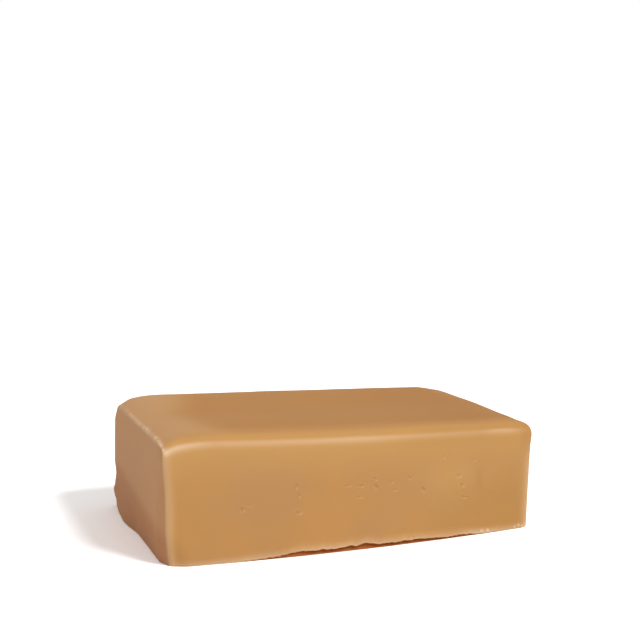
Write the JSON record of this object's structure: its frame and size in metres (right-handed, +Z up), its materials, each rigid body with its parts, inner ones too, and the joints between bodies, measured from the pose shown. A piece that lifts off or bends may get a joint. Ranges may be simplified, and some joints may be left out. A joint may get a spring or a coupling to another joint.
{
  "type": "bar of soap",
  "caption": "Hand-cut oblong bar of soap with rounded long edges, a slightly dished top, one plainly cut end and a shallow break along its front foot.",
  "frame": {"origin": "middle of the bar's footprint, on the surface that it lies on", "axes": "+X along the bar's length with the cut end at -X, +Z up through its thickness, front face at -Y"},
  "size_m": [0.0921, 0.0567, 0.0292],
  "materials": {
    "soap": "waxy, warm caramel brown, faintly translucent at thin edges"
  },
  "bodies": {
    "root": {"soap_bar": "soap"}
  },
  "joints": []
}
